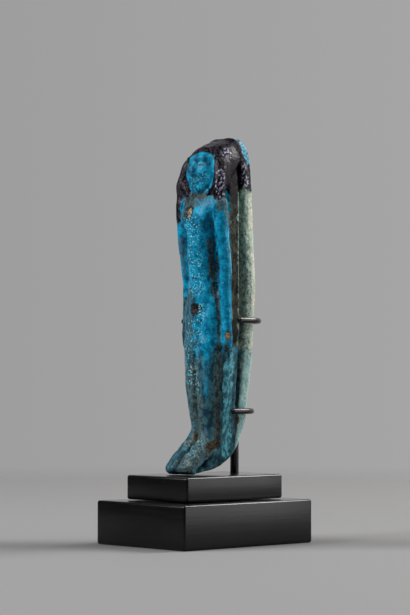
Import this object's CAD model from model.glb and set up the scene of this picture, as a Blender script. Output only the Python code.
"""Blue faience figurine with a black wig, held by two wires and a rod on a black plinth."""

import logging
import math
from dataclasses import dataclass, replace
from enum import Enum
from typing import Sequence, TypeVar, Union

import bpy
import numpy as np
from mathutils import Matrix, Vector, noise


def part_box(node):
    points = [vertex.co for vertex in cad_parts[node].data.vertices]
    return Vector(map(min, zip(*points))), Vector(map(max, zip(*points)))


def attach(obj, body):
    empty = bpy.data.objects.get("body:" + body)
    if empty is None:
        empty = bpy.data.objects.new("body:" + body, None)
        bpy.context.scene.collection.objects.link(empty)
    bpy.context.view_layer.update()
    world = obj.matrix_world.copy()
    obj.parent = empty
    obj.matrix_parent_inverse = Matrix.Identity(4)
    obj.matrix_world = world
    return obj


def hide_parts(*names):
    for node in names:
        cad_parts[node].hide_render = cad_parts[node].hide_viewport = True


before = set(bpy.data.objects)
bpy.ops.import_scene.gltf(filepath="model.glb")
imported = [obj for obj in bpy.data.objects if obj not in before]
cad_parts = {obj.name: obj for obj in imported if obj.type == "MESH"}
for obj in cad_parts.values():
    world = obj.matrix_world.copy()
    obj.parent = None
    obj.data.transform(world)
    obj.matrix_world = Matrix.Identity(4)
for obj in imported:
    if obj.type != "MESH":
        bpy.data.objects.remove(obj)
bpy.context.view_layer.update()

LOG = logging.getLogger("figurine")
Point = tuple[float, float, float]
Colour = tuple[float, float, float]
Span = tuple[float, float]
Socket = bpy.types.NodeSocket
Number = Union[Socket, float]
Value = Union[Number, Colour]
Piece = bpy.types.Object
Material = bpy.types.Material

MM = 0.001
SCALE_STEPS = 118.0
FIGURE_LOW, FIGURE_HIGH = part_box("figurine")
STEP = (FIGURE_HIGH.z - FIGURE_LOW.z) / SCALE_STEPS
EVEN: Point = (1.0, 1.0, 1.0)
RANGE_INPUTS = ("From Min", "From Max", "To Min", "To Max")


def rgb(red: int, green: int, blue: int) -> Colour:
    """Turns a screen colour of three whole numbers into linear light."""
    def one(value: int) -> float:
        """Turns one channel."""
        share = value / 255.0
        return share / 12.92 if share <= 0.04045 else ((share + 0.055) / 1.055) ** 2.4
    return one(red), one(green), one(blue)


def smooth_step(low: float, high: float, values: np.ndarray) -> np.ndarray:
    """Rises smoothly from 0 at low to 1 at high, or falls where high is the smaller."""
    share = np.clip((values - low) / (high - low), 0.0, 1.0)
    return share * share * (3.0 - 2.0 * share)


def deselect() -> None:
    """Leaves object mode's selection empty."""
    bpy.ops.object.select_all(action="DESELECT")


def pick(piece: Piece) -> None:
    """Makes a piece the only one that is selected, and the active one."""
    deselect()
    piece.select_set(True)
    bpy.context.view_layer.objects.active = piece


def settle(piece: Piece, name: str) -> Piece:
    """Names a piece and moves its place, turn and size into its mesh.

    Args:
        piece: The object that was just modelled.
        name: Its name in the scene.

    Returns:
        The same object, at the origin.
    """
    pick(piece)
    bpy.ops.object.transform_apply(location=True, rotation=True, scale=True)
    piece.name = name
    piece.data.name = name
    return piece


def finish_modifier(piece: Piece, kind: str, **settings: object) -> None:
    """Adds one modifier with its settings and applies it.

    Args:
        piece: The mesh that gets it.
        kind: The modifier's type.
        settings: Its properties by name.
    """
    pick(piece)
    modifier = piece.modifiers.new(kind.lower(), kind)
    for key, value in settings.items():
        setattr(modifier, key, value)
    bpy.ops.object.modifier_apply(modifier=modifier.name)


class Blending(Enum):
    """What a Mix node mixes: its data type, its two input sockets and its output socket."""

    COLOUR = ("RGBA", 6, 7, 2)
    VALUE = ("FLOAT", 2, 3, 0)


@dataclass(frozen=True)
class Mottle:
    """A soft noise: its lumps' width in metres, its finer layers, and the span that is used.

    A stretch below 1 draws it out along that axis.
    """

    size: float
    detail: float
    span: Span = (0.0, 1.0)
    stretch: Point = EVEN
    distortion: float = 0.0


@dataclass(frozen=True)
class Dots:
    """Scattered dots in a material: their spacing in metres, their border and their share."""

    spacing: float
    span: Span
    share: float


class NodeSheet:
    """Adds and joins the nodes of one material."""

    def __init__(self, name: str) -> None:
        """Starts the material with its shader and its object coordinates."""
        self.material = bpy.data.materials.new(name)
        self.material.use_nodes = True
        self.tree = self.material.node_tree
        self.shader = self.tree.nodes["Principled BSDF"]
        self.place = self.tree.nodes.new("ShaderNodeTexCoord").outputs["Object"]

    def add(self, kind: str, **settings: object) -> bpy.types.Node:
        """Adds a node and sets its properties by name."""
        node = self.tree.nodes.new("ShaderNode" + kind)
        for key, value in settings.items():
            setattr(node, key, value)
        return node

    def feed(self, target: Socket, source: Value) -> None:
        """Links a socket to another, or sets its value."""
        if isinstance(source, Socket):
            self.tree.links.new(source, target)
        elif isinstance(source, tuple):
            target.default_value = (*source, 1.0)[:len(target.default_value)]
        else:
            target.default_value = source

    def noise(self, look: Mottle) -> Socket:
        """The whole noise of a mottle, with values about 0.5."""
        stretched = self.add("Mapping")
        stretched.inputs["Scale"].default_value = look.stretch
        self.feed(stretched.inputs["Vector"], self.place)
        node = self.add("TexNoise")
        self.feed(node.inputs["Vector"], stretched.outputs["Vector"])
        node.inputs["Scale"].default_value = 1.0 / look.size
        node.inputs["Detail"].default_value = look.detail
        node.inputs["Distortion"].default_value = look.distortion
        return node.outputs["Fac"]

    def mottle(self, look: Mottle, most: float = 1.0) -> Socket:
        """A mottle that goes from 0 to its most over its span."""
        return self.between(self.noise(look), *look.span, 0.0, most)

    def dots(self, look: Dots) -> Socket:
        """Scattered dots, with their share as the most."""
        node = self.add("TexVoronoi")
        self.feed(node.inputs["Vector"], self.place)
        node.inputs["Scale"].default_value = 1.0 / look.spacing
        within = self.between(node.outputs["Distance"], *look.span)
        return self.maths("MULTIPLY", within, look.share)

    def attribute(self, name: str) -> Socket:
        """A painted mask of the mesh."""
        return self.add("Attribute", attribute_name=name).outputs["Fac"]

    def maths(self, operation: str, first: Number, second: Number = 0.0) -> Socket:
        """One sum on two values."""
        node = self.add("Math", operation=operation)
        self.feed(node.inputs[0], first)
        self.feed(node.inputs[1], second)
        return node.outputs["Value"]

    def along(self, axis: Point) -> Socket:
        """How far a place lies along an axis, in metres."""
        node = self.add("VectorMath", operation="DOT_PRODUCT")
        self.feed(node.inputs[0], self.place)
        node.inputs[1].default_value = axis
        return node.outputs["Value"]

    def between(self, source: Socket, low: float, high: float,
                first: float = 0.0, last: float = 1.0) -> Socket:
        """Maps low to first and high to last, smoothly and with no overshoot."""
        node = self.add("MapRange", interpolation_type="SMOOTHSTEP")
        self.feed(node.inputs["Value"], source)
        for key, value in zip(RANGE_INPUTS, (low, high, first, last)):
            node.inputs[key].default_value = value
        return node.outputs["Result"]

    def blend(self, share: Socket, first: Value, second: Value,
              kind: Blending = Blending.COLOUR) -> Socket:
        """Mixes two colours, or two numbers.

        Args:
            share: The share of the second.
            first: What shows where the share is 0.
            second: What shows where the share is 1.
            kind: What is mixed.

        Returns:
            The socket of the mixture.
        """
        data_type, first_input, second_input, output = kind.value
        node = self.add("Mix", data_type=data_type)
        self.feed(node.inputs["Factor"], share)
        self.feed(node.inputs[first_input], first)
        self.feed(node.inputs[second_input], second)
        return node.outputs[output]

    def relief(self, height: Socket, depth: float, strength: float) -> None:
        """Gives the shader a fine relief of that depth in metres."""
        node = self.add("Bump")
        node.inputs["Distance"].default_value = depth
        node.inputs["Strength"].default_value = strength
        self.feed(node.inputs["Height"], height)
        self.feed(self.shader.inputs["Normal"], node.outputs["Normal"])

    def shade(self, **values: Value) -> None:
        """Sets the shader's sockets, named with underscores for spaces."""
        for key, value in values.items():
            self.feed(self.shader.inputs[key.replace("_", " ")], value)


class Mask(Enum):
    """The painted areas of the figurine's surface, in the order in which they are laid."""

    TEAL = "teal"
    BRIGHT = "bright"
    BAND = "band"
    SIDE = "side"
    MOSS = "moss"
    BACK = "back"
    PALE = "pale"
    GREY = "grey"
    GRIME = "grime"
    WIG = "wig"
    SHEEN = "sheen"
    CYAN = "cyan"
    MAROON = "maroon"
    SOIL = "soil"
    CHALK = "chalk"
    BARE = "bare"
    SPECK = "speck"


@dataclass(frozen=True)
class Glaze:
    """The look of one painted area: two colours that mottle into each other.

    The raggedness tears its border, and dark turns into light over the contrast.
    """

    mask: Mask
    dark: Colour
    light: Colour
    size: float
    roughness: float
    stretch: Point = EVEN
    raggedness: float = 0.55
    contrast: Span = (0.38, 0.64)


@dataclass(frozen=True)
class Edge:
    """A soft border: where an area starts, where it is whole, and how far noise moves it."""

    start: float
    whole: float
    raggedness: float = 0.0

    def over(self, values: np.ndarray, ragged: Union[np.ndarray, float] = 0.0) -> np.ndarray:
        """How far inside the border each value lies, from 0 to 1."""
        return smooth_step(self.start, self.whole, values + self.raggedness * ragged)


@dataclass(frozen=True)
class Ripple:
    """A soft noise over the skin, with lumps of that width in steps."""

    width: float
    seed: float
    height: float = 1.0
    stretch: Point = EVEN


@dataclass(frozen=True)
class Stroke:
    """A painted area round a line. All is in steps, with z up from the toes."""

    points: tuple[Point, ...]
    radii: Point
    strength: float = 1.0


@dataclass(frozen=True)
class Cut:
    """A carved line in steps, with its depth in millimetres. A negative depth raises it."""

    points: tuple[Point, ...]
    width: float
    depth: float


@dataclass(frozen=True)
class Lump:
    """One rounded form, in steps, that is pressed onto the body before it is smoothed."""

    middle: Point
    radii: Point
    tilt: float = 0.0


Line = TypeVar("Line", Stroke, Cut)


def both_sides(*lines: Line) -> tuple[Line, ...]:
    """Each line, followed by its mirror image on the figurine's other side."""
    return tuple(twin for line in lines for twin in (
        line, replace(line, points=tuple((-x, y, z) for x, y, z in line.points))))


def line_distance(places: np.ndarray, points: Sequence[Point], radii: Point) -> np.ndarray:
    """How far places lie from a line of points, in units of the radii.

    Args:
        places: Places in steps, one row each.
        points: The line's points.
        radii: The unit of distance on each axis.

    Returns:
        One distance for each place.
    """
    scale = np.array(radii)
    spots = places / scale
    line = np.array(points) / scale
    if len(line) == 1:
        return np.linalg.norm(spots - line[0], axis=1)
    best = np.full(len(spots), np.inf)
    for start, end in zip(line[:-1], line[1:]):
        along = end - start
        share = np.clip((spots - start) @ along / (along @ along), 0.0, 1.0)
        best = np.minimum(best, np.linalg.norm(spots - start - share[:, None] * along, axis=1))
    return best


class Skin:
    """The vertices of the figurine's mesh, as arrays that are pushed and painted."""

    def __init__(self, mesh: bpy.types.Mesh) -> None:
        """Reads the mesh's places, normals and edges."""
        self.mesh = mesh
        self.count = len(mesh.vertices)
        self.edges = np.empty(len(mesh.edges) * 2, np.int32)
        mesh.edges.foreach_get("vertices", self.edges)
        self.edges = self.edges.reshape(-1, 2)
        self.ways = np.bincount(self.edges.ravel(), minlength=self.count).astype(float)
        self.read()

    def read(self) -> None:
        """Reads the places and normals again after a change."""
        self.places = np.empty(self.count * 3)
        self.mesh.vertices.foreach_get("co", self.places)
        self.places = self.places.reshape(-1, 3)
        self.normals = np.empty(self.count * 3)
        self.mesh.vertices.foreach_get("normal", self.normals)
        self.normals = self.normals.reshape(-1, 3)

    def write(self) -> None:
        """Puts the places back into the mesh."""
        self.mesh.vertices.foreach_set("co", self.places.ravel())
        self.mesh.update()
        self.read()

    @property
    def steps(self) -> np.ndarray:
        """The places in steps, with z up from the toes."""
        return (self.places - np.array([0.0, 0.0, FIGURE_LOW.z])) / STEP

    def spread(self, values: np.ndarray, rounds: int) -> np.ndarray:
        """Averages values with those of the neighbours, some rounds over."""
        first, second = self.edges[:, 0], self.edges[:, 1]
        for _ in range(rounds):
            total = np.bincount(first, values[second], self.count)
            total += np.bincount(second, values[first], self.count)
            values = 0.5 * values + 0.5 * total / np.maximum(self.ways, 1.0)
        return values

    def hollows(self, rounds: int) -> np.ndarray:
        """How hollow the surface is at each vertex, in metres; ridges are negative."""
        around = np.stack([self.spread(self.places[:, k], rounds) for k in range(3)], axis=1)
        return ((around - self.places) * self.normals).sum(axis=1)

    def grain(self, ripple: Ripple) -> np.ndarray:
        """A ripple's value at each vertex, up to its height on both sides of 0."""
        spots = self.steps * np.array(ripple.stretch) / ripple.width + ripple.seed
        return ripple.height * np.array([noise.noise(Vector(spot)) for spot in spots])

    def cells(self, spacing: float, seed: float) -> np.ndarray:
        """How far each vertex is from the nearest of scattered points, in their spacing."""
        spots = self.steps / spacing + seed
        return np.array([noise.voronoi(Vector(spot))[0][0] for spot in spots])

    def push(self, amount: np.ndarray) -> None:
        """Moves each vertex outwards along its normal, in metres."""
        self.places += self.normals * amount[:, None]

    def paint(self, name: str, values: np.ndarray) -> None:
        """Keeps a mask on the mesh."""
        layer = self.mesh.attributes.new(name, "FLOAT", "POINT")
        layer.data.foreach_set("value", np.clip(values, 0.0, 1.0).astype(np.float32))


@dataclass
class Figurine:
    """The moulded figure on its backing slab."""

    voxel: float = 0.36 * MM
    merge_distance: float = 0.001 * MM
    smoothing: float = 0.5
    smoothing_rounds: int = 7
    form_segments: int = 24
    form_rings: int = 16
    seam_y: float = 7.2
    seam_edge: Edge = Edge(2.4, 0.8)
    seam_low_end: Edge = Edge(44, 52)
    seam_fill: float = 0.9
    seam_fill_rounds: int = 2
    seam_spread: int = 30
    groove_edge: Edge = Edge(0.02 * MM, 0.16 * MM)
    groove_spread: int = 14
    wear: Ripple = Ripple(9, 3.1, 0.5)
    waves: tuple[Ripple, ...] = (
        Ripple(5.5, 11.3, 0.16), Ripple(2.2, 23.9, 0.07), Ripple(0.9, 37.7, 0.05))
    pit_spacing: float = 1.9
    pit_seed: float = 5.0
    pit_edge: Edge = Edge(0.34, 0.08)
    pit_wear: Edge = Edge(0.45, 0.7)
    pit_depth: float = 0.16
    hair_border: Ripple = Ripple(1.6, 51)
    hair_strands: Ripple = Ripple(1.1, 63, 0.06, (1, 1, 0.25))
    hair_groove_depth: float = 0.05
    tears: tuple[Ripple, ...] = (Ripple(2.4, 71.0), Ripple(1.1, 83.0, 0.5))
    hem_height: float = 96.6
    hem_rise: float = 0.2
    hem_front: float = -1.0
    hem_edge: Edge = Edge(-1.2, 1.6, 2)
    face_across: float = 1.5
    face_middle: float = 103.8
    face_lean: float = 0.1
    face_half: Span = (6.5, 8.1)
    face_edge: Edge = Edge(1.24, 0.86, 0.06)
    face_depth: Edge = Edge(1.6, 0.6)
    lappets: tuple[tuple[Point, Point], ...] = (
        ((9.8, -2, 108), (9.8, -2.2, 96.2)), ((-9.8, -2, 108), (-9.8, -2.2, 89.4)))
    lappet_radii: Point = (2, 2.6, 2)
    lappet_edge: Edge = Edge(1.3, 0.75, 0.1)
    stroke_edge: Edge = Edge(1.35, 0.6, 0.28)
    back_turn: Edge = Edge(0.3, 0.8)
    upper_edge: Edge = Edge(40, 47, 2)
    head_edge: Edge = Edge(97, 99, 0.6)
    leg_edge: Edge = Edge(48, 36, 2)
    behind_edge: Edge = Edge(1.6, 2.8, 0.4)
    outer_edge: Edge = Edge(7, 8.5)
    moss_edge: Edge = Edge(5, 6.8, 0.9)
    rim_edge: Edge = Edge(9.5, 10.9, 0.35)
    fade_edge: Edge = Edge(36, 48, 2.5)
    low_back_edge: Edge = Edge(0.4, 1.4)
    slab_side_edge: Edge = Edge(0.2, 1)
    slab_low_end: Edge = Edge(30, 38)
    back_shares: Span = (0.95, 0.85)
    low_rim_share: float = 0.4
    wig_back_edge: Edge = Edge(9, 10.5)
    clean_middle: Point = (1, -5, 104)
    clean_edge: Edge = Edge(9, 7)
    clean_share: float = 0.8
    grime_edge: Edge = Edge(-0.8, 0.3)
    grime_share: float = 0.8
    under_turn: Edge = Edge(-0.3, -0.8)
    under_top: Edge = Edge(12, 6)
    under_share: float = 0.8
    lumps: tuple[Lump, ...] = (
        Lump((0, -5.6, 105.9), (0.8, 1, 2.6), -0.20),
        Lump((0, -6.2, 104.4), (1, 0.9, 0.8)),
        Lump((0.9, -5.5, 104.2), (0.6, 0.7, 0.5)),
        Lump((-0.9, -5.5, 104.2), (0.6, 0.7, 0.5)),
        Lump((2.9, -3.9, 107.8), (1.6, 1, 0.8)),
        Lump((-2.9, -3.9, 107.8), (1.6, 1, 0.8)),
        Lump((0, -5.1, 102.5), (1.9, 0.7, 0.45)),
        Lump((0, -5, 101.6), (1.5, 0.7, 0.5)),
    )
    cuts: tuple[Cut, ...] = (
        Cut(((-1.8, -5.6, 102.1), (0, -5.9, 102.1), (1.8, -5.6, 102.1)), 0.35, 0.22),
        *both_sides(
            Cut(((1.3, -4.6, 108), (2.9, -4.9, 108.9), (4.6, -4, 108)), 0.35, 0.20),
            Cut(((1.3, -4.6, 107.4), (2.9, -4.9, 106.9), (4.6, -4, 107.6)), 0.30, 0.14)),
        Cut(((0.7, -5.7, 57.2),), 1.2, 0.6),
        Cut(((-6.3, -4, 64), (0, -5.6, 45.5), (6.3, -4, 64)), 0.5, 0.18),
        Cut(((0.2, -5.5, 46), (0.2, -4.6, 30), (0.4, -4, 12)), 0.55, 0.30),
        *both_sides(
            Cut(((11.7, -1.6, 47), (11.5, -1.6, 41.8)), 0.35, 0.22),
            Cut(((12.2, -0.5, 47), (12, -0.5, 41.8)), 0.35, 0.22)),
        Cut(((12.3, 0.6, 47), (12.1, 0.6, 41.8)), 0.35, 0.22),
        Cut(((0.2, -14.5, 2), (0.2, -10, 6.5), (0.3, -7, 8.6)), 0.6, 0.25),
        Cut(((-4.5, -6.4, 10.6), (0, -7, 9.8), (6.2, -7.4, 8)), 0.7, -0.35),
        Cut(((-5, -8.2, 8.6), (0.5, -8.6, 8.2), (6.2, -8.6, 6.6)), 0.7, 0.3),
        Cut(((-3.4, -13.8, 2.6), (-3.2, -11.4, 5.2)), 0.5, 0.25),
        Cut(((3.6, -14, 2.4), (3.4, -11.6, 4.8)), 0.5, 0.25),
    )
    strokes: tuple[tuple[Mask, tuple[Stroke, ...]], ...] = (
        (Mask.TEAL, (
            Stroke(((-11, -1, 58), (-11.2, -0.2, 44)), (4.4, 4.4, 5), 0.8),
            Stroke(((3.4, -4.4, 94.4), (7.6, -3.4, 95.2)), (3.2, 2.8, 2.4), 0.55),
            Stroke(((-4, -5, 60), (-5, -4.2, 44), (-5, -4, 34)), (5.4, 3.6, 5), 0.75),
        )),
        (Mask.BRIGHT, (
            Stroke(((11, -2.4, 89), (11.4, -2.5, 81), (10.9, -0.9, 67), (10.9, -0.6, 53),
                   (11.2, -0.2, 45)), (2, 2.6, 3)),
            Stroke(((-11.2, -2.2, 90), (-10.9, -0.9, 67)), (2, 2.6, 3), 0.5),
            Stroke(((6.6, -4.7, 94.5), (5.2, -6.6, 88)), (3, 3, 3), 0.5),
            Stroke(((2.6, -6.2, 81), (3.4, -5.1, 70), (3.2, -5.4, 62)), (3, 2.5, 5), 0.6),
            Stroke(((6.6, -3.6, 90), (5.6, -3.4, 80), (5, -3.4, 74)), (2, 1.8, 3), 0.9),
            Stroke(((5.4, -4.5, 58), (5.6, -4.3, 44)), (1.8, 2, 5), 0.75),
            Stroke(((5.6, -4.3, 46), (5.2, -4.2, 31)), (1.6, 2, 6), 0.45),
        )),
        (Mask.BAND, (
            Stroke(((10.1, 3, 42), (9.6, 2.5, 34), (8.8, 2.8, 27), (8, 3, 20), (7.2, 4.2, 13),
                   (6.2, 4.4, 8)), (2, 1.9, 3)),
            Stroke(((-10.1, 3, 42), (-8.8, 2.8, 27), (-6.8, 4.4, 11)), (2, 1.9, 3), 0.8),
        )),
        (Mask.GREY, (
            Stroke(((-3.4, -4.4, 96), (-1.4, -5, 94), (-2.6, -6.6, 90.5)), (3, 2.6, 2.4), 0.9),
            Stroke(((-2.4, -5.4, 52), (0.6, -4.8, 47), (-1.6, -5.3, 41)), (3, 2.4, 4), 0.3),
            Stroke(((11.5, -3.1, 93.2),), (1.9, 2, 3), 0.6),
            Stroke(((11.4, 1.4, 101), (11.8, 0.8, 98.5), (12, -0.4, 93), (11.2, 1.4, 87)),
                   (1.6, 1.8, 3)),
            Stroke(((-0.6, -4.6, 36), (0.2, -4.2, 26), (0.4, -4, 16)), (3.4, 2.4, 4), 0.7),
            Stroke(((3.5, -13.5, 2.5), (3, -9.5, 6)), (5, 3, 3), 0.75),
            Stroke(((0.5, -5.5, 12), (5, -6, 9)), (4, 2.6, 3), 0.8),
        )),
        (Mask.GRIME, (
            Stroke(((7.6, -3.9, 91.5), (5.7, -2.4, 85.4), (5.3, -2.4, 80.2)), (0.7, 0.8, 2), 0.35),
            Stroke(((5.3, -2.4, 80.2), (5.2, -1.6, 73.6), (5.8, -1.3, 66.6), (6.6, -1.2, 62.5)),
                   (1.1, 1.5, 2), 0.75),
            Stroke(((6.6, -1.2, 62.5), (8.2, -0.8, 54.1), (8.1, -0.8, 46)), (0.8, 0.9, 2), 0.9),
            Stroke(((10.8, -0.4, 43.6), (10.2, 2, 42.5), (9, 0.4, 40)), (1.2, 1.5, 1.6), 0.75),
            Stroke(((-3.2, -4.6, 95.6), (-2.6, -6.2, 91.6)), (2.8, 2.2, 2.6), 0.9),
            Stroke(((-4.5, -4.2, 96.8), (3.5, -3.6, 96.6)), (2, 1.6, 1.5), 0.9),
            Stroke(((8.4, -1.4, 44), (7.5, -0.7, 32.6), (6.6, -0.3, 22.2), (5.9, 0.2, 11.8)),
                   (1, 1.5, 2), 0.9),
            Stroke(((-0.5, -4.3, 26.5), (-0.7, -4, 20.5)), (0.9, 1.2, 1.5)),
            Stroke(((10.8, 7.2, 52), (10, 6.6, 43), (8.4, 7.2, 32.6), (7.6, 7.7, 23.9),
                   (7.3, 7.4, 14)), (1.3, 0.9, 2), 0.55),
            *both_sides(Stroke(((1.5, -5, 107.7), (4.4, -4.3, 107.7)), (0.6, 1.2, 0.5), 0.7)),
            Stroke(((-1.5, -5.7, 102.1), (1.5, -5.7, 102.1)), (0.3, 1.2, 0.35), 0.6),
            Stroke(((-6.8, -3.4, 100), (-6, -4, 97)), (1.4, 1.4, 2.4), 0.9),
        )),
        (Mask.SHEEN, (
            Stroke(((9.6, 2.2, 110.6), (8.6, 2, 112)), (1.6, 1.9, 2.4), 0.7),
            Stroke(((11.2, -3.3, 104), (11.2, -3.3, 97.5)), (1.9, 2.1, 2.4), 0.9),
            Stroke(((10.6, 9.4, 108.5), (11, 9.2, 102)), (1.4, 1.6, 1.8), 0.6),
        )),
        (Mask.CYAN, (
            Stroke(((8, 10.2, 116.2), (9.6, 10.3, 112.4), (10.5, 11, 109.5)), (1.1, 1.3, 1.4)),
            Stroke(((7, 9.2, 117.2), (-1, 8.2, 117.9)), (1.5, 0.5, 0.5), 0.8),
        )),
        (Mask.MAROON, (
            Stroke(((0.9, -5.4, 57.2),), (2.6, 2.2, 2.5)),
            Stroke(((-3.5, -4, 97), (2.5, -3.6, 97)), (1.6, 1.6, 1.2), 0.45),
            Stroke(((-3.4, -4.6, 95), (-1.8, -6, 91.5)), (3, 2.6, 3), 0.42),
            Stroke(((10.2, 3.9, 107), (10.5, 4.2, 96)), (1.2, 1.9, 3), 0.8),
            Stroke(((11, 2.2, 52), (10.8, 2.6, 46)), (1.2, 1.3, 2), 0.9),
            Stroke(((-0.9, -6.4, 91.4),), (2.2, 2, 3.2), 0.75),
        )),
        (Mask.SOIL, (
            Stroke(((-1.8, -4.2, 97.2), (1.4, -3.9, 97)), (1.4, 1.6, 0.9), 0.5),
            Stroke(((5.6, -1.5, 76), (5.6, -1.4, 69)), (0.9, 1.2, 1.8), 0.55),
            Stroke(((-9.2, -2.6, 81), (-8.9, -2.4, 71)), (1.5, 1.8, 3), 0.5),
            Stroke(((-0.4, -4.4, 13.4),), (1.3, 1.6, 2.2), 0.85),
            Stroke(((6.8, -0.4, 24), (5.9, 0.2, 12)), (0.9, 1.2, 2), 0.42),
            Stroke(((6.2, -0.8, 10.4), (5.8, -3.6, 9.4)), (1.8, 1.8, 1.9), 0.9),
            Stroke(((7.9, 7.9, 18.8),), (1.1, 1.1, 1.6), 0.8),
            Stroke(((4.4, -6.8, 7.6),), (2.2, 1.8, 0.9), 0.6),
            Stroke(((11, 3.6, 92), (10.8, 4, 70), (10.8, 4, 52)), (1.4, 1, 3), 0.45),
            Stroke(((-0.9, -6.4, 91.2),), (1.3, 1.6, 2.3), 0.6),
            Stroke(((11.8, 0, 47.8),), (1.4, 1.4, 1.9), 0.8),
        )),
        (Mask.CHALK, (
            Stroke(((-3.2, -6, 11.4), (-1.4, -6.6, 10)), (1.8, 1.4, 1), 0.55),
            Stroke(((3.4, -8.4, 8.2), (6.1, -7.2, 7.4)), (1.8, 1.4, 0.9), 0.55),
            Stroke(((6.2, -5.2, 5.4), (6, -1.5, 5.8)), (0.8, 1.2, 0.6), 0.6),
            Stroke(((3, -10.5, 6), (5.6, -12.6, 3.4)), (1, 1.2, 0.7), 0.5),
            Stroke(((1, -5.2, 13.5), (4, -5.4, 11.6)), (1.4, 1.2, 1), 0.5),
        )),
        (Mask.BARE, (
            Stroke(((-0.8, -6.4, 91.2),), (0.9, 1.4, 1.7)),
            Stroke(((11.8, 0, 47.8),), (0.9, 1.1, 1.3)),
            Stroke(((-1, -5, 36.6),), (0.5, 0.9, 0.7), 0.9),
            Stroke(((0.9, -5.6, 57),), (0.35, 1.2, 0.35), 0.8),
        )),
        (Mask.SPECK, (
            Stroke(((0, -6.6, 88), (0.6, -6.2, 78), (1, -5.5, 66)), (3.4, 3, 4)),
            Stroke(((3.6, -5, 58), (2.4, -5, 49)), (1.2, 2, 2)),
            Stroke(((-1.4, -5.4, 52), (-1.4, -5.3, 38), (-1, -4.6, 30)), (3.6, 2.6, 3), 0.8),
            Stroke(((3, -5.1, 106), (1.5, -5, 100)), (3.6, 3, 3), 0.4),
            Stroke(((3.5, -9.5, 6.5), (3, -5, 11)), (3, 3, 2), 0.45),
        )),
    )

    def clay(self) -> Piece:
        """Joins the body with its small forms and makes one fine, smooth skin of them.

        Returns:
            The figurine's object, without its weathering.
        """
        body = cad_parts["figurine"].copy()
        body.data = body.data.copy()
        body.parent = None
        bpy.context.scene.collection.objects.link(body)
        pick(body)
        bpy.ops.object.mode_set(mode="EDIT")
        bpy.ops.mesh.select_all(action="SELECT")
        bpy.ops.mesh.remove_doubles(threshold=self.merge_distance)
        bpy.ops.object.mode_set(mode="OBJECT")
        forms = [self.form(lump) for lump in self.lumps]
        deselect()
        for piece in (body, *forms):
            piece.select_set(True)
        bpy.context.view_layer.objects.active = body
        bpy.ops.object.join()
        body = settle(body, "faience_figurine")
        finish_modifier(body, "REMESH", mode="VOXEL", voxel_size=self.voxel, use_smooth_shade=True)
        finish_modifier(body, "SMOOTH", factor=self.smoothing, iterations=self.smoothing_rounds)
        return body

    def form(self, lump: Lump) -> Piece:
        """Adds one rounded form in its place."""
        deselect()
        x, y, z = lump.middle
        bpy.ops.mesh.primitive_uv_sphere_add(
            segments=self.form_segments, ring_count=self.form_rings, radius=STEP, scale=lump.radii,
            location=(x * STEP, y * STEP, FIGURE_LOW.z + z * STEP), rotation=(lump.tilt, 0.0, 0.0))
        return bpy.context.object

    def wig_area(self, steps: np.ndarray, ragged: np.ndarray) -> np.ndarray:
        """The mask of the wig: its cap round the face opening, and its two lappets.

        Args:
            steps: The places of the vertices, in steps.
            ragged: The noise that moves the wig's border.

        Returns:
            The wig's share at each vertex, from 0 to 1.
        """
        x, y, z = steps.T
        hem = self.hem_height + self.hem_rise * np.maximum(y - self.hem_front, 0.0)
        cap = self.hem_edge.over(z - hem, ragged)
        above = z - self.face_middle
        across = (x - self.face_across - self.face_lean * above) / self.face_half[0]
        opening = across ** 2 + (above / self.face_half[1]) ** 2
        face = self.face_edge.over(opening, ragged) * self.face_depth.over(y)
        area = cap * (1.0 - face)
        for lappet in self.lappets:
            reach = line_distance(steps, lappet, self.lappet_radii)
            area = np.maximum(area, self.lappet_edge.over(reach, ragged))
        return area

    def weather(self, skin: Skin) -> np.ndarray:
        """Carves the lines, fills the seam's sharp bottom, then waves and pits the surface.

        Args:
            skin: The figurine's vertices.

        Returns:
            How deep in a groove each vertex lies, from 0 to 1.
        """
        for cut in self.cuts:
            reach = line_distance(skin.steps, cut.points, (cut.width,) * 3)
            skin.push(-cut.depth * MM * np.exp(-reach * reach))
        skin.write()
        _, y, z = skin.steps.T
        seam = self.seam_edge.over(np.abs(y - self.seam_y)) * self.seam_low_end.over(z)
        for _ in range(self.seam_fill_rounds):
            skin.push(self.seam_fill * seam * np.maximum(skin.hollows(self.seam_spread), 0.0))
            skin.write()
        groove = self.groove_edge.over(skin.hollows(self.groove_spread))
        worn = 0.5 + skin.grain(self.wear)
        uneven = sum(skin.grain(wave) for wave in self.waves)
        near = skin.cells(self.pit_spacing, self.pit_seed)
        pits = self.pit_edge.over(near) * self.pit_wear.over(worn)
        wig = self.wig_area(skin.steps, skin.grain(self.hair_border))
        hair = skin.grain(self.hair_strands) - self.hair_groove_depth * groove
        skin.push(MM * (uneven - self.pit_depth * pits + wig * hair))
        skin.write()
        return groove

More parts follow.
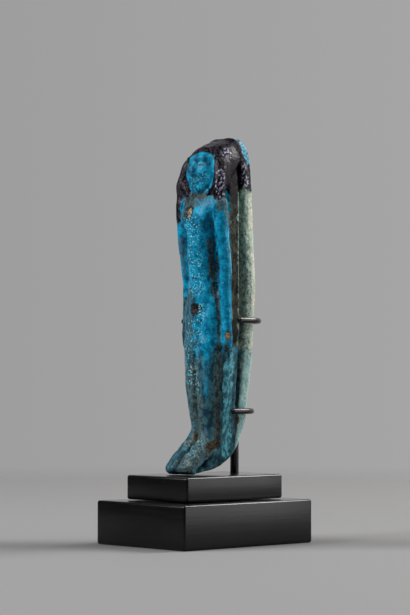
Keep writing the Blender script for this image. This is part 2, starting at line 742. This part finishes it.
    def colour(self, skin: Skin, groove: np.ndarray) -> None:
        """Paints every mask.

        Args:
            skin: The figurine's vertices.
            groove: How deep in a groove each vertex lies.
        """
        steps = skin.steps
        x, y, z = steps.T
        past_seam = y - self.seam_y
        ragged = sum(skin.grain(tear) for tear in self.tears)
        masks = {mask: np.zeros(skin.count) for mask in Mask}
        for mask, strokes in self.strokes:
            for stroke in strokes:
                reach = line_distance(steps, stroke.points, stroke.radii)
                painted = stroke.strength * self.stroke_edge.over(reach, ragged)
                masks[mask] = np.maximum(masks[mask], painted)
        back = self.back_turn.over(skin.normals[:, 1])
        upper = self.upper_edge.over(z, ragged)
        head = self.head_edge.over(z, ragged)
        behind = self.behind_edge.over(y, ragged) * self.outer_edge.over(np.abs(x)) * upper
        rim = self.rim_edge.over(y, ragged)
        fade = self.fade_edge.over(z, ragged)
        low_back = self.low_back_edge.over(past_seam) * (1.0 - fade)
        slab_side = self.slab_side_edge.over(past_seam) * self.slab_low_end.over(z)
        face = self.clean_edge.over(line_distance(steps, (self.clean_middle,), EVEN))
        grime = self.grime_share * groove * self.grime_edge.over(ragged)
        grime = grime * (1.0 - self.clean_share * face) * (1.0 - behind)
        under = self.under_turn.over(skin.normals[:, 2]) * self.under_top.over(z)
        masks[Mask.WIG] = self.wig_area(steps, ragged) * (1.0 - back * self.wig_back_edge.over(y))
        masks[Mask.TEAL] = np.maximum(masks[Mask.TEAL], self.leg_edge.over(z, ragged))
        masks[Mask.SIDE] = behind
        masks[Mask.MOSS] = np.maximum(behind * self.moss_edge.over(y, ragged),
                                      slab_side * (1.0 - upper))
        masks[Mask.BACK] = np.maximum(self.back_shares[0] * back, self.back_shares[1] * low_back)
        masks[Mask.PALE] = (1.0 - back) * np.maximum(
            rim * fade * (1.0 - head), self.low_rim_share * rim * low_back)
        masks[Mask.GRIME] = np.maximum(masks[Mask.GRIME], grime)
        masks[Mask.MAROON] = np.maximum(masks[Mask.MAROON], self.under_share * under)
        for mask, values in masks.items():
            skin.paint(mask.value, values)

    def build(self) -> Piece:
        """Models, weathers, paints and dresses the figurine.

        Returns:
            The finished piece.
        """
        piece = self.clay()
        skin = Skin(piece.data)
        groove = self.weather(skin)
        self.colour(skin, groove)
        piece.data.materials.clear()
        piece.data.materials.append(FaienceFinish().material())
        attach(piece, "root")
        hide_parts("figurine")
        return piece


@dataclass(frozen=True)
class FaienceFinish:
    """Glazed faience: a deep blue ground with worn, soiled and bare areas on it."""

    ground_dark: Colour = rgb(6, 82, 112)
    ground_light: Colour = rgb(20, 156, 194)
    speck: Colour = rgb(128, 206, 224)
    grit_colour: Colour = rgb(10, 20, 26)
    pore_colour: Colour = rgb(14, 22, 30)
    ground: Mottle = Mottle(2.6 * MM, 5.0, (0.36, 0.64), distortion=0.4)
    ground_roughness: float = 0.22
    tears: Mottle = Mottle(0.9 * MM, 8.0, (0.32, 0.68), distortion=0.3)
    glaze_detail: float = 4.0
    glaze_hold: Span = (0.2, 0.8)
    grit: Mottle = Mottle(0.5 * MM, 6.0, (0.54, 0.36))
    grit_share: float = 0.4
    pores: Dots = Dots(0.9 * MM, (0.26, 0.10), 0.45)
    sparks: Mottle = Mottle(0.6 * MM, 3.0, (0.55, 0.64))
    spark_patches: Mottle = Mottle(2.4 * MM, 2.0, (0.36, 0.50))
    fine_relief: Mottle = Mottle(0.45 * MM, 3.0)
    dents: Dots = Dots(0.8 * MM, (0.0, 0.35), 0.6)
    relief_depth: float = 0.16 * MM
    relief_strength: float = 0.9
    specular: float = 0.11
    glazes: tuple[Glaze, ...] = (
        Glaze(Mask.TEAL, rgb(24, 58, 72), rgb(66, 112, 124), 1.3 * MM, 0.38, (1, 1, 0.5), 0.3),
        Glaze(Mask.BRIGHT, rgb(6, 116, 154), rgb(18, 156, 196), 1.8 * MM, 0.20, EVEN, 0.35),
        Glaze(Mask.BAND, rgb(46, 104, 118), rgb(104, 190, 208), 1.2 * MM, 0.32, (1, 1, 0.5)),
        Glaze(Mask.SIDE, rgb(13, 13, 11), rgb(76, 78, 66), 1.4 * MM, 0.66,
              (1, 1, 0.5), 0.35, (0.36, 0.64)),
        Glaze(Mask.MOSS, rgb(104, 130, 122), rgb(180, 202, 188), 1.1 * MM, 0.60,
              (1, 1, 0.6), 0.6, (0.32, 0.68)),
        Glaze(Mask.BACK, rgb(126, 172, 174), rgb(168, 206, 200), 2.2 * MM, 0.50,
              (1, 1, 0.6), 0.3, (0.28, 0.72)),
        Glaze(Mask.PALE, rgb(184, 198, 182), rgb(220, 214, 192), 1.8 * MM, 0.58, (1, 1, 0.5), 0.4),
        Glaze(Mask.GREY, rgb(46, 58, 56), rgb(88, 108, 108), 0.9 * MM, 0.55),
        Glaze(Mask.GRIME, rgb(20, 48, 58), rgb(84, 102, 98), 1.1 * MM, 0.60, (1, 1, 0.5)),
        Glaze(Mask.WIG, rgb(4, 3, 4), rgb(50, 42, 52), 0.9 * MM, 0.26,
              (1, 1, 0.7), 0.25, (0.46, 0.58)),
        Glaze(Mask.SHEEN, rgb(12, 10, 15), rgb(176, 172, 196), 0.8 * MM, 0.28,
              (1, 1, 0.7), 0.7, (0.47, 0.60)),
        Glaze(Mask.CYAN, rgb(26, 116, 150), rgb(96, 180, 204), 0.9 * MM, 0.30),
        Glaze(Mask.MAROON, rgb(5, 4, 6), rgb(28, 18, 20), 0.8 * MM, 0.45, EVEN, 0.3),
        Glaze(Mask.SOIL, rgb(30, 27, 22), rgb(88, 72, 50), 0.9 * MM, 0.80, EVEN, 0.25),
        Glaze(Mask.CHALK, rgb(56, 78, 82), rgb(132, 148, 144), 1 * MM, 0.55, EVEN, 0.8),
        Glaze(Mask.BARE, rgb(112, 84, 54), rgb(176, 156, 122), 0.7 * MM, 0.80, EVEN, 0.25),
    )

    def material(self) -> Material:
        """Builds the layered material.

        Returns:
            The material, which reads each painted mask as an attribute of the mesh.
        """
        sheet = NodeSheet("blue_faience_glaze")
        colour = sheet.blend(sheet.mottle(self.ground), self.ground_dark, self.ground_light)
        rough: Number = self.ground_roughness
        tears = sheet.mottle(self.tears)
        for glaze in self.glazes:
            look = Mottle(glaze.size, self.glaze_detail, glaze.contrast, glaze.stretch)
            own = sheet.blend(sheet.mottle(look), glaze.dark, glaze.light)
            torn = sheet.blend(tears, 1.0 - glaze.raggedness, 1.0 + glaze.raggedness,
                               Blending.VALUE)
            painted = sheet.attribute(glaze.mask.value)
            share = sheet.between(sheet.maths("MULTIPLY", painted, torn), *self.glaze_hold)
            colour = sheet.blend(share, colour, own)
            rough = sheet.blend(share, rough, glaze.roughness, Blending.VALUE)
        colour = sheet.blend(sheet.mottle(self.grit, self.grit_share), colour, self.grit_colour)
        colour = sheet.blend(sheet.dots(self.pores), colour, self.pore_colour)
        sparks = sheet.maths("MULTIPLY", sheet.mottle(self.sparks),
                             sheet.mottle(self.spark_patches))
        sparks = sheet.maths("MULTIPLY", sparks, sheet.attribute(Mask.SPECK.value))
        colour = sheet.blend(sparks, colour, self.speck)
        sheet.relief(sheet.maths("ADD", sheet.noise(self.fine_relief), sheet.dots(self.dents)),
                     self.relief_depth, self.relief_strength)
        sheet.shade(Base_Color=colour, Roughness=rough, Specular_IOR_Level=self.specular)
        return sheet.material


@dataclass(frozen=True)
class BlackedMetal:
    """Wire and rod with a thin black coating, dulled by handling."""

    dark: Colour = rgb(7, 7, 7)
    light: Colour = rgb(16, 15, 15)
    rubbed: Colour = rgb(62, 58, 54)
    haze: Mottle = Mottle(2.5 * MM, 4.0, (0.3, 0.7))
    rubs: Mottle = Mottle(0.7 * MM, 5.0, (0.58, 0.74))
    rub_share: float = 0.35
    grain: Mottle = Mottle(0.35 * MM, 3.0)
    relief_depth: float = 0.02 * MM
    relief_strength: float = 0.7
    roughness: Span = (0.18, 0.32)
    specular: float = 0.3

    def material(self) -> Material:
        """Builds the coated metal."""
        sheet = NodeSheet("blacked_metal_coat")
        haze = sheet.noise(self.haze)
        rubs = sheet.mottle(self.rubs)
        colour = sheet.blend(haze, self.dark, self.light)
        colour = sheet.blend(sheet.maths("MULTIPLY", rubs, self.rub_share), colour, self.rubbed)
        sheet.relief(sheet.noise(self.grain), self.relief_depth, self.relief_strength)
        rough = sheet.between(haze, *self.haze.span, *self.roughness)
        sheet.shade(Base_Color=colour, Roughness=rough, Specular_IOR_Level=self.specular)
        return sheet.material


@dataclass(frozen=True)
class BlackLacquer:
    """The plinth's black paint: satin, with faint brush streaks and a little dust."""

    ground: Colour = rgb(4, 4, 4)
    bloom: Colour = rgb(12, 12, 13)
    dust_colour: Colour = rgb(120, 120, 118)
    streaks: Mottle = Mottle(3.0 * MM, 4.0, (0.35, 0.75), (0.12, 0.12, 3.0))
    clouds: Mottle = Mottle(9.0 * MM, 3.0)
    dust: Dots = Dots(2.6 * MM, (0.07, 0.03), 0.25)
    grain: Mottle = Mottle(0.6 * MM, 2.0)
    relief_depth: float = 0.03 * MM
    relief_strength: float = 0.5
    roughness: Span = (0.2, 0.3)
    specular: float = 0.28

    def material(self) -> Material:
        """Builds the lacquer."""
        sheet = NodeSheet("black_lacquer_coat")
        streaks = sheet.noise(self.streaks)
        clouds = sheet.noise(self.clouds)
        brushed = sheet.between(streaks, *self.streaks.span)
        colour = sheet.blend(brushed, self.ground, self.bloom)
        colour = sheet.blend(sheet.dots(self.dust), colour, self.dust_colour)
        rough = sheet.blend(clouds, *self.roughness, Blending.VALUE)
        sheet.relief(sheet.maths("ADD", streaks, sheet.noise(self.grain)), self.relief_depth,
                     self.relief_strength)
        sheet.shade(Base_Color=colour, Roughness=rough, Specular_IOR_Level=self.specular)
        return sheet.material


@dataclass
class Plinth:
    """Two stacked black blocks with rounded edges."""

    edge_radius: float = 0.9 * MM
    edge_segments: int = 5
    smooth_angle: float = math.radians(35.0)

    def block(self, node: str, name: str, finish: Material) -> Piece:
        """Models one block in the place of its node.

        Args:
            node: The node that it stands for.
            name: The piece's name.
            finish: Its material.

        Returns:
            The finished piece.
        """
        low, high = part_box(node)
        deselect()
        bpy.ops.mesh.primitive_cube_add(size=1.0, location=(low + high) / 2, scale=high - low)
        piece = settle(bpy.context.object, name)
        finish_modifier(piece, "BEVEL", width=self.edge_radius, segments=self.edge_segments,
                        limit_method="ANGLE")
        pick(piece)
        bpy.ops.object.shade_smooth_by_angle(angle=self.smooth_angle)
        piece.data.materials.append(finish)
        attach(piece, "root")
        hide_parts(node)
        return piece

    def build(self) -> list[Piece]:
        """Models both blocks."""
        finish = BlackLacquer().material()
        return [self.block("plinth_lower", "lower_plinth_block", finish),
                self.block("plinth_upper", "upper_plinth_block", finish)]


@dataclass
class Mount:
    """The rod behind the slab and the two wires bent round it."""

    bend_radius: float = 8.0 * MM
    ring_sides: int = 24
    bend_steps: int = 10
    tip_radius: float = 0.5 * MM
    tip_segments: int = 4
    tip_angle: float = math.radians(50.0)
    smooth_angle: float = math.radians(40.0)
    merge_distance: float = 0.01 * MM

    def rod(self, finish: Material) -> Piece:
        """Models the rod, with its rounded upper end."""
        low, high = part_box("mount_rod")
        deselect()
        bpy.ops.mesh.primitive_cylinder_add(
            vertices=2 * self.ring_sides, radius=(high.x - low.x) / 2, depth=high.z - low.z,
            location=(low + high) / 2)
        piece = settle(bpy.context.object, "mount_rod_bar")
        return self.dress(piece, "mount_rod", finish)

    def cradle(self, node: str, name: str, finish: Material) -> Piece:
        """Bends one wire: a ring is drawn out, spun round each bend and drawn out again.

        Args:
            node: The node that it stands for.
            name: The piece's name.
            finish: Its material.

        Returns:
            The finished piece.
        """
        low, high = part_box(node)
        radius = (high.z - low.z) / 2
        level = (low.z + high.z) / 2
        corners = np.array([vertex.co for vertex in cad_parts[node].data.vertices])
        tips = [corners[corners[:, 0] < 0.0, 1].min(), corners[corners[:, 0] > 0.0, 1].min()]
        left, right, back = low.x + radius, high.x - radius, high.y - radius
        bend = self.bend_radius
        deselect()
        bpy.ops.mesh.primitive_circle_add(
            vertices=self.ring_sides, radius=radius, location=(left, tips[0], level),
            rotation=(math.pi / 2, 0.0, 0.0))
        piece = settle(bpy.context.object, name)
        bpy.ops.object.mode_set(mode="EDIT")
        bpy.ops.mesh.select_all(action="SELECT")
        self.draw(0.0, back - bend - tips[0])
        self.spin(left + bend, back - bend, level)
        self.draw(right - left - 2 * bend, 0.0)
        self.spin(right - bend, back - bend, level)
        self.draw(0.0, tips[1] - back + bend)
        bpy.ops.mesh.select_all(action="SELECT")
        bpy.ops.mesh.remove_doubles(threshold=self.merge_distance)
        bpy.ops.mesh.select_all(action="DESELECT")
        bpy.ops.mesh.select_non_manifold()
        bpy.ops.mesh.edge_face_add()
        bpy.ops.mesh.select_all(action="SELECT")
        bpy.ops.mesh.normals_make_consistent(inside=False)
        bpy.ops.object.mode_set(mode="OBJECT")
        return self.dress(piece, node, finish)

    def draw(self, right: float, back: float) -> None:
        """Draws the selected ring out straight."""
        bpy.ops.mesh.extrude_region_move(TRANSFORM_OT_translate={"value": (right, back, 0.0)})

    def spin(self, x: float, y: float, z: float) -> None:
        """Spins the selected ring a quarter turn, clockwise from above."""
        bpy.ops.mesh.spin(steps=self.bend_steps, angle=math.pi / 2, center=(x, y, z),
                          axis=(0.0, 0.0, 1.0))

    def dress(self, piece: Piece, node: str, finish: Material) -> Piece:
        """Rounds a piece's ends, gives it its finish and lets it stand for its node.

        Args:
            piece: The rod or the wire.
            node: The node that it stands for.
            finish: Its material.

        Returns:
            The finished piece.
        """
        finish_modifier(piece, "BEVEL", width=self.tip_radius, segments=self.tip_segments,
                        limit_method="ANGLE", angle_limit=self.tip_angle)
        pick(piece)
        bpy.ops.object.shade_smooth_by_angle(angle=self.smooth_angle)
        piece.data.materials.append(finish)
        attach(piece, "root")
        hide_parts(node)
        return piece

    def build(self) -> list[Piece]:
        """Models the rod and both wires."""
        finish = BlackedMetal().material()
        return [self.rod(finish), self.cradle("upper_cradle", "upper_cradle_wire", finish),
                self.cradle("lower_cradle", "lower_cradle_wire", finish)]


@dataclass(frozen=True)
class Softbox:
    """One square soft light, in metres and watts."""

    name: str
    place: Point
    size: float
    power: float
    colour: Colour


@dataclass
class Studio:
    """The pale floor, the grey backdrop, the soft lights and the camera."""

    azimuth: float = math.radians(47.3812)
    distance: float = 0.728286
    height: float = 0.0554771
    pitch: float = 0.0358
    focal_pixels: float = 2100.0
    frame_pixels: float = 615.0
    sensor: float = 36.0
    nearest: float = 0.01
    floor_colour: Colour = rgb(121, 120, 120)
    haze_colour: Colour = rgb(120, 120, 120)
    haze: Mottle = Mottle(0.4, 2.0)
    haze_share: float = 0.05
    paper_radius: float = 0.7
    paper_sides: int = 96
    paper_roughness: float = 0.9
    crease_colour: Colour = rgb(60, 60, 62)
    crease_nearness: float = 0.006
    crease_width: float = 0.07
    crease_depth: float = 0.42
    backdrop: Colour = rgb(163, 162, 162)
    backdrop_span: Span = (-0.12, 0.12)
    backdrop_levels: Span = (0.93, 1.05)
    room_slope: Point = (0, 1, -0.5)
    room_span: Span = (-0.3, 0.7)
    room_levels: Span = (0.02, 0.88)
    aim: Point = (0, 0, 0.07)
    softboxes: tuple[Softbox, ...] = (
        Softbox("back_softbox", (0.30, 0.85, 0.90), 0.5, 16.0, (1.0, 0.99, 0.97)),
        Softbox("overhead_softbox", (0.45, 0.05, 1.15), 0.6, 3.5, (1.0, 0.99, 0.97)),
        Softbox("front_left_softbox", (-0.45, -1.0, 0.85), 0.75, 23.0, (0.97, 0.98, 1.0)),
        Softbox("right_card", (1.05, 0.80, 0.20), 0.8, 5.0, (1.0, 1.0, 1.0)),
    )

    @property
    def across(self) -> Point:
        """The level direction from the left of the view to its right."""
        return math.cos(self.azimuth), math.sin(self.azimuth), 0.0

    @property
    def away(self) -> Point:
        """The level direction away from the camera."""
        return -math.sin(self.azimuth), math.cos(self.azimuth), 0.0

    def camera(self) -> None:
        """Adds the camera at the photograph's viewing angle."""
        deselect()
        x, y, _ = self.away
        bpy.ops.object.camera_add(
            location=(-x * self.distance, -y * self.distance, self.height),
            rotation=(math.pi / 2 + self.pitch, 0.0, self.azimuth))
        camera = bpy.context.object
        camera.name = "studio_camera"
        camera.data.sensor_fit = "VERTICAL"
        camera.data.sensor_height = self.sensor
        camera.data.lens = self.focal_pixels / self.frame_pixels * self.sensor
        camera.data.clip_start = self.nearest
        bpy.context.scene.camera = camera

    def floor(self) -> None:
        """Lays the pale paper, with its soft crease behind the plinth and its fading rim."""
        deselect()
        bpy.ops.mesh.primitive_circle_add(
            vertices=self.paper_sides, radius=self.paper_radius, fill_type="NGON")
        piece = settle(bpy.context.object, "studio_floor")
        sheet = NodeSheet("studio_paper")
        haze = sheet.maths("MULTIPLY", sheet.noise(self.haze), self.haze_share)
        tone = sheet.blend(haze, self.floor_colour, self.haze_colour)
        crease = sheet.maths("ADD", sheet.along(self.away), self.crease_nearness)
        crease = sheet.between(sheet.maths("ABSOLUTE", crease), 0.5 * self.crease_width, 0.0,
                               0.0, self.crease_depth)
        reach = sheet.add("VectorMath", operation="LENGTH")
        sheet.feed(reach.inputs[0], sheet.place)
        fade = sheet.between(reach.outputs["Value"], self.paper_radius, 0.5 * self.paper_radius)
        sheet.shade(Base_Color=sheet.blend(crease, tone, self.crease_colour),
                    Roughness=self.paper_roughness, Alpha=fade)
        piece.data.materials.append(sheet.material)

    def gradient(self, tree: bpy.types.NodeTree, axis: Point, span: Span, levels: Span) -> Socket:
        """A strength that changes from one side of the room to the other.

        Args:
            tree: The world's nodes.
            axis: The direction in which it changes.
            span: Where along the axis it starts and ends to change.
            levels: The strength at both.

        Returns:
            The socket of the strength.
        """
        direction = tree.nodes.new("ShaderNodeTexCoord").outputs["Generated"]
        along = tree.nodes.new("ShaderNodeVectorMath")
        along.operation = "DOT_PRODUCT"
        along.inputs[1].default_value = axis
        level = tree.nodes.new("ShaderNodeMapRange")
        for key, value in zip(RANGE_INPUTS, (*span, *levels)):
            level.inputs[key].default_value = value
        tree.links.new(direction, along.inputs[0])
        tree.links.new(along.outputs["Value"], level.inputs["Value"])
        return level.outputs["Result"]

    def room(self) -> None:
        """Sets the grey backdrop that is seen, and the room that the glaze reflects."""
        world = bpy.data.worlds.new("studio_room")
        world.use_nodes = True
        tree = world.node_tree
        seen = tree.nodes["Background"]
        seen.inputs["Color"].default_value = (*self.backdrop, 1.0)
        reflected = tree.nodes.new("ShaderNodeBackground")
        rays = tree.nodes.new("ShaderNodeLightPath")
        mix = tree.nodes.new("ShaderNodeMixShader")
        for background, slope in (
                (seen, (self.across, self.backdrop_span, self.backdrop_levels)),
                (reflected, (self.room_slope, self.room_span, self.room_levels))):
            tree.links.new(self.gradient(tree, *slope), background.inputs["Strength"])
        tree.links.new(rays.outputs["Is Camera Ray"], mix.inputs["Fac"])
        tree.links.new(reflected.outputs["Background"], mix.inputs[1])
        tree.links.new(seen.outputs["Background"], mix.inputs[2])
        tree.links.new(mix.outputs["Shader"], tree.nodes["World Output"].inputs["Surface"])
        bpy.context.scene.world = world

    def light(self, softbox: Softbox) -> None:
        """Adds one soft light that looks at the figurine."""
        deselect()
        towards = Vector(self.aim) - Vector(softbox.place)
        bpy.ops.object.light_add(type="AREA", location=softbox.place,
                                 rotation=towards.to_track_quat("-Z", "Y").to_euler())
        lamp = bpy.context.object
        lamp.name = softbox.name
        lamp.data.shape = "SQUARE"
        lamp.data.size = softbox.size
        lamp.data.energy = softbox.power
        lamp.data.color = softbox.colour
        lamp.visible_camera = False

    def build(self) -> None:
        """Sets the camera, the floor, the room, the lights and the plain view transform."""
        self.camera()
        self.floor()
        self.room()
        for softbox in self.softboxes:
            self.light(softbox)
        bpy.context.scene.view_settings.view_transform = "Standard"


def report(piece: Piece) -> None:
    """Logs a piece's name and its number of triangles."""
    triangles = sum(len(face.vertices) - 2 for face in piece.data.polygons)
    LOG.info("%s: %d triangles", piece.name, triangles)


def main() -> None:
    """Builds the studio, the stand and the figurine, and keeps the sizes."""
    logging.basicConfig(level=logging.INFO, format="%(name)s: %(message)s")
    Studio().build()
    for piece in (*Plinth().build(), *Mount().build(), Figurine().build()):
        report(piece)


if __name__ == "__main__":
    main()
